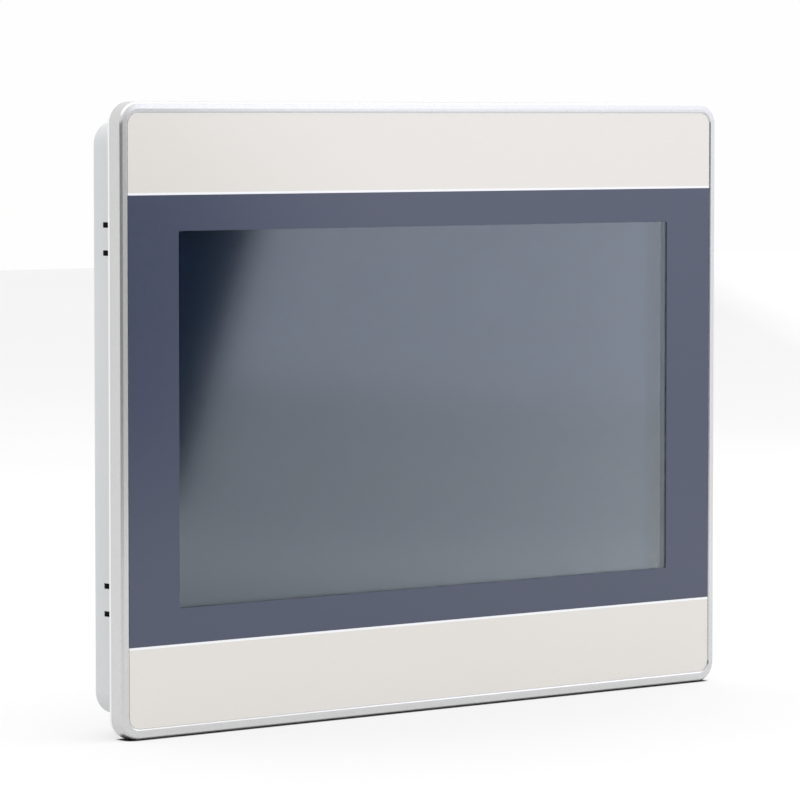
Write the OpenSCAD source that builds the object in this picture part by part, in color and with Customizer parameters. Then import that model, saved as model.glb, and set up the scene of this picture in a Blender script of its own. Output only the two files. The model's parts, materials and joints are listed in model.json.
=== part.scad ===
// Panel-mounted touch screen operator terminal. Millimetres.
// X runs to the right seen from the front, Y runs backwards, Z runs up.
// The origin is the centre of the panel cut-out, on the flange's rear face.

/* [Front bezel] */
// Width of the front bezel
body_w = 271; // [262:1:300]
// Height of the front bezel
body_h = 213; // [204:1:240]
// Thickness of the bezel in front of the panel
bezel_t = 7.6; // [7:0.1:9]
// Outer corner radius of the bezel
corner_r = 7.5; // [5:0.5:12]
// Radius of the bezel's front edge
front_edge_r = 1.3; // [0.6:0.1:2]
// Width of the raised rim beside the overlay
rim_side = 3.2; // [3:0.1:4]
// Width of the raised rim above and below the overlay
rim_top = 3.8; // [3:0.1:4.2]

/* [Screen] */
// Width of the clear window
window_w = 222.6; // [200:0.1:223]
// Height of the clear window
window_h = 126.6; // [110:0.1:128]
// Width of the display's lit area
lit_w = 222.7; // [200:0.1:223]
// Height of the display's lit area
lit_h = 125.3; // [110:0.1:126]
// Thickness of the printed overlay
overlay_t = 0.25; // [0.2:0.05:0.3]
// Thickness of the touch panel's glass
touch_glass_t = 1.1; // [0.9:0.1:1.1]

/* [Rear housing] */
// Width of the housing behind the panel
housing_w = 259.6; // [256:0.1:260]
// Height of the housing behind the panel
housing_h = 199.8; // [198:0.1:202]
// Depth of the housing's side walls behind the panel
housing_d = 16.3; // [15:0.1:16.4]
// Depth of the raised block behind the panel
block_d = 30.1; // [29.8:0.1:36]
// Width of the raised block
block_w = 214; // [212:1:226]
// Height of the raised block
block_h = 152; // [151:1:160]
// Thickness of the housing's side walls
wall_t = 2.5; // [2:0.1:2.5]
// Thickness of the housing's rear walls
plate_t = 2.2; // [1.8:0.1:2.2]
// Number of ventilation slots in each row
vents = 15; // [5:1:19]

/* [Panel mounting] */
// Distance between the two slots that take one clamp
slot_gap = 9.4; // [8:0.05:12]
// Width of a clamp slot
slot_w = 1.85; // [1.5:0.05:2.5]
// Height of the clamp positions on the left and right walls
clamp_z = 60.6; // [50:0.1:64]
// Position of the clamps along the top and bottom walls
clamp_x = 78; // [50:1:100]
// Thickness of the panel gasket before it is squeezed
gasket_t = 2; // [1.6:0.1:2.4]

/* [Controls] */
// Travel of a configuration switch's slider
dip_travel = 2; // [1:0.1:2]
// Travel of the reset button
reset_travel = 0.5; // [0.2:0.05:0.5]
// Pitch of the terminal's poles
pole_pitch = 5.08; // [5.08:0.01:5.2]

/* [Hidden] */
$fn = 64;
eps = 0.5; // how far a cutter runs past the face that it cuts

// Layers behind the front face, counted along Y
front_y = -bezel_t;
recess_d = 0.55; // rim to the overlay's seat
seat_y = front_y + recess_d;
overlay_y = seat_y - overlay_t;
film_t = 0.2;
spacer_t = 0.15;
tape_t = 0.5;
glass_y = seat_y + film_t + spacer_t;
tape_y = glass_y + touch_glass_t;
ledge_y = tape_y + tape_t;
tail_y = glass_y + 0.4; // where the flex circuit leaves the glass
ledge_end_y = -2.6; // back of the ledge that the display is laid on
lcd_y = -2.4; // front of the display's metal frame
cell_y = -1.8; // front glass of the display
film_stack_y = -0.6;
guide_y = -0.1;
lcd_back_y = 1.6;
lcd_end_y = 2;
chassis_y = 4.2;
chassis_t = 1;
board_y = 13.4; // front face of the main board
board_t = 1.6;
part_y = board_y + board_t; // face that carries the ports
inner_y = block_d - plate_t; // inside of the block's rear wall

// Outlines of the layers
overlay_w = body_w - 2 * rim_side;
overlay_h = body_h - 2 * rim_top;
overlay_r = 4;
overlay_gap = 0.15;
touch_w = 234;
touch_h = 141;
touch_gap = 0.5;
lcd_w = 235;
lcd_h = 143;
lcd_sheet = 0.3;
lcd_wall = 0.4;
guide_w = 229;
guide_h = 134;
locator_w = 241;
locator_h = 149;

// Flange, skirt, gasket and the housing behind them
groove_inset = 2.2;
groove_r = 5.3;
groove_w = body_w - 2 * groove_inset;
groove_h = body_h - 2 * groove_inset;
groove_d = 1.2;
skirt_w = housing_w - 2 * wall_t - 0.4;
skirt_h = housing_h - 2 * wall_t - 0.4;
skirt_t = 2;
skirt_end = 3;
housing_r = 7.8;

clamp_slot_y = [4.1, 10.2];

// Screws: M3 thread-forming, in pilot holes
pilot_r = 1.25;
shank_r = 1.2;
head_r = 2.8;
head_t = 1.9;
boss_r = 3.5;
chassis_bosses = [[105, 80], [-105, 80], [105, -80], [-105, -80], [0, 80], [0, -80]];
cover_bosses = [for (x = [-121.5, 121.5], z = [-88, 0, 88]) [x, z], [0, 93], [0, -93]];
board_posts = [[90, 25], [-90, 25], [36, 25], [-86, -66], [25, -66], [91.5, -66]];
counterbore_d = 1;

// Main board
board_w = 190;
board_top = 30;
board_bottom = -73.3;

// Ports, along the block's lower wall
port_wall_z = -block_h / 2;
port_in_z = port_wall_z + plate_t;
port_face_z = port_wall_z + 0.1;
com_x = [44, 6]; // serial ports
com_y = 21.4;
com_screw = 24.99; // distance between the two jack screws
jack_x = -24;
host_x = -45;
device_x = -66;
jack_thread_r = 1.42;

// Power terminal
terminal_x = 78;
poles = 3;
terminal_w = poles * pole_pitch + 0.4;
terminal_d = 13;
terminal_end_y = 27.5;
screw_z = -70.5;
clamp_low_y = 15.9;
clamp_h = 5;
clamp_floor = 0.8;
clamp_window = 3;
bar_y = 18.7;
bar_t = 0.8;
shoulder_y = 22.9;
head_seat_y = 23.5;

// Service recess in the block's rear wall
recess_x = -73;
recess_z = -38;
recess_w = 28;
recess_h = 18;
recess_floor_y = 19.3;
recess_floor_t = 2;
dip_x = -79;
dip_pitch = 2.54;
dip_w = 11.7;
dip_h = 9.8;
dip_end_y = 21;
dip_knob_h = 1.6;
dip_slot_h = dip_knob_h + dip_travel + 0.2;
reset_x = -65;
reset_seat_y = part_y + 1.6;

// Label area
label_w = 80;
label_h = 44;
label_x = 25;
label_z = -18;

// ---- shared shapes ----

// Extrudes an outline drawn in X and Z, from y0 back to y1
module slab(y0, y1) {
    translate([0, y1, 0]) rotate([90, 0, 0]) linear_extrude(y1 - y0) children();
}

// Rectangle with rounded corners, centred
module rounded_rect(w, h, r) {
    square([w - 2 * r, h], center = true);
    square([w, h - 2 * r], center = true);
    for (x = [-1, 1], z = [-1, 1]) translate([x * (w / 2 - r), z * (h / 2 - r)]) circle(r);
}

// Rounded rectangular ring between two outlines
module ring(w, h, r, in_w, in_h, in_r) {
    difference() {
        rounded_rect(w, h, r);
        rounded_rect(in_w, in_h, in_r);
    }
}

// Block given by its two ends along X, Y and Z
module block(x, y, z) {
    translate([x[0], y[0], z[0]]) cube([x[1] - x[0], y[1] - y[0], z[1] - z[0]]);
}

// Cylinder along Y, at x and z
module rod_y(x, z, r, y0, y1) {
    translate([x, y0, z]) rotate([-90, 0, 0]) cylinder(r = r, h = y1 - y0);
}

// Cylinder along Z, at x and y
module rod_z(x, y, r, z0, z1) {
    translate([x, y, z0]) cylinder(r = r, h = z1 - z0);
}

// Section of a plate's edge, its outer face on x = 0: the front and back corners are rounded
module edge_section(y0, y1, front, back, depth) {
    translate([-depth, y0]) square([depth - front, y1 - y0 - back]);
    translate([-depth, y0 + front]) square([depth - back, y1 - y0 - front]);
    translate([-depth, y0 + front]) square([depth, y1 - y0 - front - back]);
    translate([-front, y0 + front]) circle(front);
    translate([-back, y1 - back]) circle(back);
}

// Sweeps a section around a rounded rectangle: the section's x is outwards and its y is Y
module swept_edge(w, h, r) {
    for (s = [0, 1]) mirror([s, 0, 0]) {
        translate([0, 0, r - h / 2]) linear_extrude(h - 2 * r) translate([w / 2, 0]) children();
        for (t = [0, 1]) mirror([0, 0, t]) translate([w / 2 - r, 0, h / 2 - r]) rotate([90, 0, 0])
            rotate_extrude(angle = 90) translate([r, 0]) mirror([0, 1, 0]) children();
    }
    for (t = [0, 1]) mirror([0, 0, t]) rotate([0, -90, 0]) translate([0, 0, r - w / 2])
        linear_extrude(w - 2 * r) translate([h / 2, 0]) children();
}

// Rounded rectangular plate with rounded front and back edges
module edged_plate(w, h, r, y0, y1, front, back) {
    depth = max(front, back) + 0.4;
    swept_edge(w, h, r) edge_section(y0, y1, front, back, depth);
    slab(y0, y1) rounded_rect(w - 2 * depth, h - 2 * depth, r - depth);
}

// Pan-head screw along Y, its head seated at y and its point towards the front
module pan_screw(x, z, y, length) {
    difference() {
        union() {
            rod_y(x, z, head_r, y, y + head_t * 0.6);
            translate([x, y + head_t * 0.6, z]) rotate([-90, 0, 0])
                cylinder(r1 = head_r, r2 = head_r * 0.72, h = head_t * 0.4);
            rod_y(x, z, shank_r, y - length, y);
        }
        for (a = [0, 90]) translate([x, y + head_t, z]) rotate([0, a, 0]) cube([3, 1.6, 0.7], center = true);
    }
}

// Rounds the corners of an outline
function rounded_corner(a, b, c, r, n) =
    let (u = (a - b) / norm(a - b), v = (c - b) / norm(c - b), half = acos(u * v) / 2,
         centre = b + (u + v) / norm(u + v) * r / sin(half), p = b + u * r / tan(half),
         q = b + v * r / tan(half), start = atan2(p[1] - centre[1], p[0] - centre[0]),
         turn = atan2(q[1] - centre[1], q[0] - centre[0]) - start,
         sweep = turn > 180 ? turn - 360 : turn < -180 ? turn + 360 : turn)
    [for (i = [0:n]) centre + r * [cos(start + sweep * i / n), sin(start + sweep * i / n)]];

// D-shaped connector outline, w wide on its long side and h high
function d_outline(w, h, r) =
    let (s = h * tan(10), p = [[-w / 2, h / 2], [-w / 2 + s, -h / 2], [w / 2 - s, -h / 2], [w / 2, h / 2]])
    [for (i = [0:3]) each rounded_corner(p[(i + 3) % 4], p[i], p[(i + 1) % 4], r, 4)];

// ---- front ----

module front_bezel() {
    seat_w = overlay_w + 2 * overlay_gap;
    seat_h = overlay_h + 2 * overlay_gap;
    seat_r = overlay_r + overlay_gap;
    crown_w = 2.4;
    crown_d = 0.11;
    bevel_w = 0.4;
    bevel_d = 0.3;
    cavity_w = skirt_w - 2 * skirt_t;
    cavity_h = skirt_h - 2 * skirt_t;
    tail_x = [59, 73];
    color("gainsboro") difference() {
        union() {
            difference() {
                edged_plate(body_w, body_h, corner_r, front_y, 0, front_edge_r, 0.7);
                slab(front_y - eps, seat_y) rounded_rect(seat_w, seat_h, seat_r);
                // The rim's face falls a little outwards
                swept_edge(body_w, body_h, corner_r) polygon([[eps, front_y - eps],
                    [-crown_w, front_y - eps], [-crown_w, front_y],
                    [eps, front_y + crown_d * (1 + eps / crown_w)]]);
                // and its edge beside the overlay is bevelled
                swept_edge(seat_w, seat_h, seat_r) polygon([[-overlay_gap, front_y - eps],
                    [bevel_w * (1 + eps / bevel_d), front_y - eps],
                    [-overlay_gap, front_y + bevel_d * (1 + overlay_gap / bevel_w)]]);
                slab(ledge_y, eps) rounded_rect(cavity_w, cavity_h, 5);
                slab(-groove_d, eps) rounded_rect(groove_w, groove_h, groove_r);
            }
            slab(-groove_d - eps, skirt_end) ring(skirt_w, skirt_h, 7.2, cavity_w, cavity_h, 5);
            slab(ledge_y, ledge_end_y) rounded_rect(locator_w, locator_h, 1.5);
            slab(ledge_y, 1) ring(locator_w, locator_h, 1.5, lcd_w + 0.8, lcd_h + 0.8, 1);
            for (p = chassis_bosses) rod_y(p[0], p[1], boss_r, ledge_y, chassis_y);
            for (p = cover_bosses) rod_y(p[0], p[1], boss_r, ledge_y, housing_d - plate_t);
        }
        slab(seat_y - eps, ledge_y) rounded_rect(touch_w + 2 * touch_gap, touch_h + 2 * touch_gap, 1);
        slab(front_y, 2) rounded_rect(229, 135, 1);
        block(tail_x, [tail_y - 0.1, 2], [-77, -68]);
        for (p = chassis_bosses) rod_y(p[0], p[1], pilot_r, ledge_end_y, chassis_y + eps);
        for (p = cover_bosses) rod_y(p[0], p[1], pilot_r, 2, housing_d);
    }
}

module graphic_overlay() {
    color("slategray") slab(overlay_y, seat_y)
        ring(overlay_w, overlay_h, overlay_r, window_w, window_h, 0.6);
}

module touch_film() {
    color([0.5, 0.52, 0.56]) slab(seat_y, seat_y + film_t) rounded_rect(touch_w, touch_h, 0.8);
}

module touch_spacer() {
    color("white") slab(seat_y + film_t, glass_y) ring(touch_w, touch_h, 0.8, 226.6, 132.6, 0.5);
}

module touch_glass() {
    color([0.6, 0.65, 0.68]) slab(glass_y, tape_y) rounded_rect(touch_w, touch_h, 0.8);
}

module touch_tape() {
    color("dimgray") slab(tape_y, ledge_y) ring(touch_w, touch_h, 0.8, 229, 135, 1);
}

module touch_tail() {
    x = [60, 72];
    low = -73.2;
    t = 0.15;
    color("goldenrod") {
        block(x, [tail_y, tail_y + t], [low, -touch_h / 2]);
        block(x, [tail_y, 11 + t], [low - t, low]);
        block(x, [11, 11 + t], [low, -62]);
    }
}

// ---- display module ----

module lcd_frame() {
    color("silver") {
        slab(lcd_y, lcd_y + lcd_sheet) ring(lcd_w, lcd_h, 0.8, lit_w + 2.4, lit_h + 2.6, 0.4);
        slab(lcd_y, lcd_end_y) ring(lcd_w, lcd_h, 0.8, lcd_w - 2 * lcd_wall, lcd_h - 2 * lcd_wall, 0.4);
    }
}

module lcd_cell() {
    color([0.04, 0.06, 0.1]) {
        slab(cell_y, cell_y + 0.6) rounded_rect(233.4, 141.4, 0.5);
        slab(cell_y + 0.6, film_stack_y) translate([0, 2]) rounded_rect(233.4, 137.4, 0.5);
    }
}

module diffuser_films() {
    color("whitesmoke") slab(film_stack_y, guide_y) rounded_rect(guide_w, guide_h, 0.5);
}

module light_guide() {
    color("azure") slab(guide_y, lcd_back_y) rounded_rect(guide_w, guide_h, 0.5);
}

module lcd_mid_frame() {
    color("white") slab(film_stack_y, lcd_back_y) ring(234, 142, 0.6, guide_w + 0.6, guide_h + 1.6, 0.5);
}

module backlight_strip() {
    leds = 30;
    led_w = 3;
    step = (guide_w - 12) / (leds - 1);
    low = -guide_h / 2 - 0.75;
    color("khaki") {
        block([-guide_w / 2, guide_w / 2], [guide_y, 1.5], [low, low + 0.25]);
        for (i = [0:leds - 1]) let (x = step * (i - (leds - 1) / 2))
            block([x - led_w / 2, x + led_w / 2], [0.2, 1.2], [low + 0.2, low + 0.7]);
    }
}

module lcd_back_plate() {
    color("lightsteelblue") slab(lcd_back_y, lcd_end_y) difference() {
        rounded_rect(234, 142, 0.5);
        for (x = [-90, 90], z = [-50, 50]) translate([x, z]) circle(2);
    }
}

module lcd_driver_board() {
    color("darkgreen") {
        block([-60, 60], [lcd_end_y, lcd_end_y + 0.8], [50, 66]);
        for (x = [-40, 0, 40]) block([x - 5, x + 5], [lcd_end_y + 0.8, lcd_end_y + 1.6], [57, 62]);
    }
}

module lcd_cable() {
    x = [-20, 20];
    color("antiquewhite") {
        block(x, [lcd_end_y + 0.8, lcd_end_y + 1], [44, 54]);
        block(x, [lcd_end_y + 0.8, 11.2], [43.8, 44]);
        block(x, [11, 11.2], [22, 43.8]);
    }
}

module backlight_cable() {
    wire_r = 0.6;
    y0 = 3;
    y1 = 11.6;
    z0 = -67;
    z1 = -56;
    color("firebrick") for (x = [89.2, 90.8]) {
        rod_z(x, y0, wire_r, z0, z1);
        translate([x, y0, z1]) sphere(wire_r);
        rod_y(x, z1, wire_r, y0, y1);
        translate([x, y1, z1]) sphere(wire_r);
        rod_z(x, y1, wire_r, z1, -47);
    }
}

module lcd_cushions() {
    color("black") for (x = [-104, 104]) block([x - 5, x + 5], [lcd_end_y, chassis_y], [-40, 45]);
}

// ---- chassis and main board ----

module chassis_plate() {
    chassis_w = 232;
    chassis_h = 176;
    lip_y = 9.5;
    color("silver") {
        slab(chassis_y, chassis_y + chassis_t) difference() {
            rounded_rect(chassis_w, chassis_h, 3);
            for (p = chassis_bosses) translate(p) circle(1.7);
            for (p = board_posts) translate(p) circle(pilot_r);
            translate([0, 44]) rounded_rect(52, 12, 2);
            translate([66, -74]) rounded_rect(18, 8, 1);
            translate([90, -55]) rounded_rect(9, 8, 1);
            for (x = [-60, -30, 30, 60]) translate([x, 66]) rounded_rect(16, 6, 2.9);
        }
        for (s = [-1, 1]) translate([0, 0, s * (chassis_h / 2 - chassis_t / 2)])
            block([-95, 95], [chassis_y, lip_y], [-chassis_t / 2, chassis_t / 2]);
    }
}

module chassis_screws() {
    color("silver") for (p = chassis_bosses) pan_screw(p[0], p[1], chassis_y + chassis_t, 7);
}

module board_standoffs() {
    color("goldenrod") for (p = board_posts) difference() {
        translate([p[0], chassis_y + chassis_t, p[1]]) rotate([-90, 0, 0])
            cylinder(r = 3, h = board_y - chassis_y - chassis_t, $fn = 6);
        rod_y(p[0], p[1], pilot_r, chassis_y, board_y + eps);
    }
}

module mainboard() {
    color("darkgreen") difference() {
        block([-board_w / 2, board_w / 2], [board_y, part_y], [board_bottom, board_top]);
        for (p = board_posts) rod_y(p[0], p[1], 1.6, board_y - eps, part_y + eps);
    }
}

module board_screws() {
    color("silver") for (p = board_posts) pan_screw(p[0], p[1], part_y, 6);
}

module board_sockets() {
    color("ivory") {
        // Display, touch panel and backlight sockets, on the board's front face
        block([-22, 22], [11.2, board_y], [20, 25]);
        block([59, 73], [11.15, board_y], [-62, -57]);
        block([86, 94], [10.4, board_y], [-47, -41]);
    }
}

module processor() {
    color("dimgray") {
        block([-0.5, 20.5], [part_y, part_y + 0.6], [-10.5, 10.5]);
        block([1.5, 18.5], [part_y + 0.6, part_y + 1.6], [-8.5, 8.5]);
    }
}

module heat_sink() {
    base_y = part_y + 1.6;
    fins = 9;
    size = 36;
    fin_t = 1.2;
    color("darkslategray") translate([10, 0, 0]) {
        block([-size / 2, size / 2], [base_y, base_y + 2], [-size / 2, size / 2]);
        for (i = [0:fins - 1]) let (x = -size / 2 + (size - fin_t) * i / (fins - 1))
            block([x, x + fin_t], [base_y + 1.5, base_y + 9], [-size / 2, size / 2]);
    }
}

module memory_chips() {
    color("black") {
        for (z = [8, -8]) block([-28, -17], [part_y, part_y + 1.1], [z - 6, z + 6]);
        block([36, 48], [part_y, part_y + 1.1], [-4, 14]);
    }
}

module power_inductors() {
    color("dimgray") for (p = [[72, -42, 12], [56, -42, 8]]) {
        block([p[0] - p[2] / 2, p[0] + p[2] / 2], [part_y, part_y + p[2] * 0.3],
              [p[1] - p[2] / 2, p[1] + p[2] / 2]);
        rod_y(p[0], p[1], p[2] * 0.44, part_y, part_y + p[2] * 0.55);
    }
}

module board_capacitors() {
    color("lightgray") for (p = [[89, -44], [89, -34], [78, -24], [-45, 14]]) difference() {
        union() {
            block([p[0] - 4.2, p[0] + 4.2], [part_y, part_y + 1], [p[1] - 4.2, p[1] + 4.2]);
            rod_y(p[0], p[1], 4, part_y + 0.5, part_y + 10);
        }
        for (a = [0, 60, 120]) translate([p[0], part_y + 10, p[1]]) rotate([0, a, 0])
            cube([5, 0.4, 0.3], center = true);
    }
}

module fuse() {
    z = -26;
    y = part_y + 4;
    color("lightblue") {
        translate([62, y, z]) rotate([0, 90, 0]) cylinder(r = 2.3, h = 14, center = true);
        for (x = [52, 67]) {
            translate([x, y, z]) rotate([0, 90, 0]) cylinder(r = 2.6, h = 5);
            block([x + 1, x + 4], [part_y, y], [z - 2.9, z + 2.9]);
        }
    }
}

module coin_cell_holder() {
    color("black") difference() {
        rod_y(-75, 12, 8.5, part_y, part_y + 4);
        rod_y(-75, 12, 6.4, part_y + 1.2, part_y + 5);
        block([-78, -72], [part_y + 1.2, part_y + 5], [16, 22]);
    }
}

module coin_cell() {
    color("silver") {
        rod_y(-75, 12, 6.25, part_y + 1.8, part_y + 3.2);
        rod_y(-75, 12, 5.2, part_y + 1.2, part_y + 1.8);
    }
}

module buzzer() {
    color("black") difference() {
        rod_y(-48, -12, 6, part_y, part_y + 8.5);
        rod_y(-48, -12, 1.2, part_y + 6, part_y + 9);
    }
}

// ---- power terminal ----

function pole_x(i) = terminal_x + (i - 2) * pole_pitch;

module terminal_bar(i) {
    x = pole_x(i);
    block([x - 1.2, x + 1.2], [bar_y, bar_y + bar_t], [-75.4, -64.6]);
    block([x - 0.5, x + 0.5], [part_y, bar_y + bar_t], [-65.4, -64.6]);
}

module terminal_bars() {
    color("silver") for (i = [1:poles]) terminal_bar(i);
}

module power_terminal() {
    z0 = port_wall_z;
    color("darkolivegreen") difference() {
        union() {
            block([terminal_x - terminal_w / 2, terminal_x + terminal_w / 2], [part_y, terminal_end_y],
                  [z0, z0 + terminal_d]);
            // Grooved ends of the neighbouring poles' walls
            for (i = [1:poles + 1]) let (x = terminal_x + (i - 1 - poles / 2) * pole_pitch)
                block([x - 0.3, x + 0.3], [part_y, terminal_end_y], [z0 - 0.6, z0 + eps]);
        }
        for (i = [1:poles]) {
            x = pole_x(i);
            block([x - 2.1, x + 2.1], [clamp_low_y - 0.1, shoulder_y], [z0 - 1, -66.4]);
            rod_y(x, screw_z, 1.6, shoulder_y - eps, head_seat_y + eps);
            rod_y(x, screw_z, 2.12, head_seat_y, terminal_end_y + eps);
            terminal_bar(i);
        }
    }
}

module terminal_screw(i) {
    x = pole_x(i);
    color("silver") difference() {
        union() {
            rod_y(x, screw_z, 2, head_seat_y + 0.05, head_seat_y + 1.85);
            rod_y(x, screw_z, 1.45, bar_y + bar_t + 0.05, head_seat_y + 0.5);
        }
        block([x - 0.35, x + 0.35], [head_seat_y + 0.95, head_seat_y + 3], [screw_z - 3, screw_z + 3]);
        block([x - 1.5, x + 1.5], [head_seat_y + 1.25, head_seat_y + 3], [screw_z - 0.3, screw_z + 0.3]);
    }
}

module wire_clamp(i) {
    x = pole_x(i);
    y0 = clamp_low_y;
    color("gold") difference() {
        block([x - 2, x + 2], [y0, y0 + clamp_h], [screw_z - 3.5, screw_z + 3.5]);
        block([x - 1.5, x + 1.5], [y0 + clamp_floor, y0 + clamp_floor + clamp_window],
              [screw_z - 4, screw_z + 4]);
        rod_y(x, screw_z, 1.5, y0 + clamp_floor + clamp_window - eps, y0 + clamp_h + eps);
    }
}

// ---- ports ----

module com_shells() {
    wide = 16.9;
    high = 8.3;
    skin = 0.5;
    shell_z = port_wall_z - 3.6;
    color("silver") for (x = com_x) translate([x, com_y, 0]) difference() {
        union() {
            translate([0, 0, port_in_z]) linear_extrude(0.8) square([30.8, 12.5], center = true);
            translate([0, 0, shell_z]) linear_extrude(port_in_z - shell_z + 0.4)
                polygon(d_outline(wide, high, 2.4));
        }
        translate([0, 0, shell_z - eps]) linear_extrude(port_in_z - shell_z + 2)
            polygon(d_outline(wide - 2 * skin, high - 2 * skin, 1.9));
        for (s = [-1, 1]) rod_z(s * com_screw / 2, 0, 1.6, port_in_z - 1, port_in_z + 2);
    }
}

// Places its children at the nine contacts of a serial port
module contacts() {
    for (row = [[0, 5, 1.42], [1, 4, -1.42]]) for (i = [0:row[1] - 1])
        translate([2.77 * (i - (row[1] - 1) / 2), row[2], 0]) children();
}

module com_inserts() {
    color("black") for (k = [0, 1]) translate([com_x[k], com_y, 0]) {
        face_z = k == 0 ? port_wall_z - 0.4 : port_wall_z - 3.2;
        difference() {
            translate([0, 0, face_z]) linear_extrude(port_in_z + 0.8 - face_z)
                polygon(d_outline(15.8, 7.2, 1.8));
            if (k == 1) contacts() rod_z(0, 0, 0.6, face_z - eps, face_z + 4);
            if (k == 0) contacts() rod_z(0, 0, 0.5, face_z - eps, face_z + 2);
        }
        translate([0, 0, port_in_z + 0.8]) linear_extrude(9)
            translate([-10, part_y - com_y]) square([20, 11.6]);
    }
}

module com_pins() {
    color("gold") translate([com_x[0], com_y, 0])
        contacts() rod_z(0, 0, 0.48, port_wall_z - 3, port_wall_z + 1.6);
}

module jack_screws() {
    hex_r = 2.6;
    hex_end = port_wall_z - 5;
    color("silver") for (x = com_x, s = [-1, 1]) translate([x + s * com_screw / 2, com_y, 0]) difference() {
        union() {
            translate([0, 0, hex_end]) cylinder(r = hex_r, h = port_wall_z - hex_end, $fn = 6);
            rod_z(0, 0, 1.4, port_wall_z - eps, port_in_z + 3.5);
        }
        rod_z(0, 0, jack_thread_r, hex_end - eps, hex_end + 4.2);
    }
}

module ethernet_jack() {
    depth = 15;
    color("silver") translate([jack_x, 0, 0]) difference() {
        block([-8, 8], [part_y, 27.2], [port_face_z, port_face_z + depth]);
        block([-5.9, 5.9], [18.6, 26], [port_face_z - 1, port_face_z + 11]);
        block([-3.1, 3.1], [17.2, 19], [port_face_z - 1, port_face_z + 11]);
        block([-1.9, 1.9], [15.9, 17.6], [port_face_z - 1, port_face_z + 11]);
    }
}

module usb_host_port() {
    color("silver") translate([host_x, 0, 0]) {
        difference() {
            block([-7, 7], [part_y, 21.8], [port_face_z, port_face_z + 14]);
            block([-6.25, 6.25], [15.8, 21], [port_face_z - 1, port_face_z + 9.5]);
        }
        block([-5.6, 5.6], [19, 20.8], [port_face_z + 1, port_face_z + 10]);
    }
}

module usb_device_port() {
    bevel = 1.6;
    color("silver") translate([device_x, 0, 0]) {
        difference() {
            block([-6, 6], [part_y, 25.9], [port_face_z, port_face_z + 15]);
            translate([0, 16.3, port_face_z - 1]) linear_extrude(11)
                polygon([[-4.2, 0], [4.2, 0], [4.2, 7.8 - bevel], [4.2 - bevel, 7.8], [bevel - 4.2, 7.8],
                         [-4.2, 7.8 - bevel]]);
        }
        block([-2.8, 2.8], [18.2, 21.4], [port_face_z + 1, port_face_z + 10.5]);
    }
}

// ---- configuration switches and reset ----

function slider_x(i) = dip_x + (i - 2.5) * dip_pitch;
dip_low_z = recess_z - dip_slot_h / 2;

module dip_switch_body() {
    color("firebrick") difference() {
        block([dip_x - dip_w / 2, dip_x + dip_w / 2], [part_y, dip_end_y],
              [recess_z - dip_h / 2, recess_z + dip_h / 2]);
        for (i = [1:4]) let (x = slider_x(i))
            block([x - 0.75, x + 0.75], [dip_end_y - 2, dip_end_y + 1], [dip_low_z, dip_low_z + dip_slot_h]);
    }
}

module dip_slider(i) {
    x = slider_x(i);
    color("white") difference() {
        block([x - 0.6, x + 0.6], [dip_end_y - 1.9, dip_end_y + 0.9],
              [dip_low_z + 0.1, dip_low_z + 0.1 + dip_knob_h]);
        block([x - 1, x + 1], [dip_end_y + 0.6, dip_end_y + 1], [dip_low_z + 0.7, dip_low_z + 1.1]);
    }
}

module reset_switch_body() {
    color("black") difference() {
        union() {
            block([reset_x - 3, reset_x + 3], [part_y, part_y + 3.6], [recess_z - 3, recess_z + 3]);
            rod_y(reset_x, recess_z, 2.4, part_y + 3, part_y + 4.2);
        }
        rod_y(reset_x, recess_z, 1.8, reset_seat_y, part_y + 5);
    }
}

module reset_button() {
    low_y = reset_seat_y + reset_travel + 0.1;
    cap_y = 21.9;
    color("firebrick") {
        rod_y(reset_x, recess_z, 1.7, low_y, cap_y);
        translate([reset_x, cap_y, recess_z]) rotate([-90, 0, 0]) cylinder(r1 = 1.7, r2 = 1.4, h = 0.3);
    }
}

// ---- rear ----

module panel_gasket() {
    color("black") slab(-groove_d, gasket_t - groove_d)
        ring(groove_w - 0.4, groove_h - 0.4, groove_r - 0.2, housing_w + 0.4, housing_h + 0.4, housing_r + 0.2);
}

// Outline of the service recess
module service_outline(grow) {
    translate([recess_x, recess_z]) rounded_rect(recess_w + 2 * grow, recess_h + 2 * grow, 2 + grow / 2);
}

// Walls of the port openings, cut along Z through the block's lower wall
module port_cut(x0, x1, y0, y1) {
    block([x0, x1], [y0, y1], [port_wall_z - 1, port_in_z + 0.2]);
}

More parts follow.
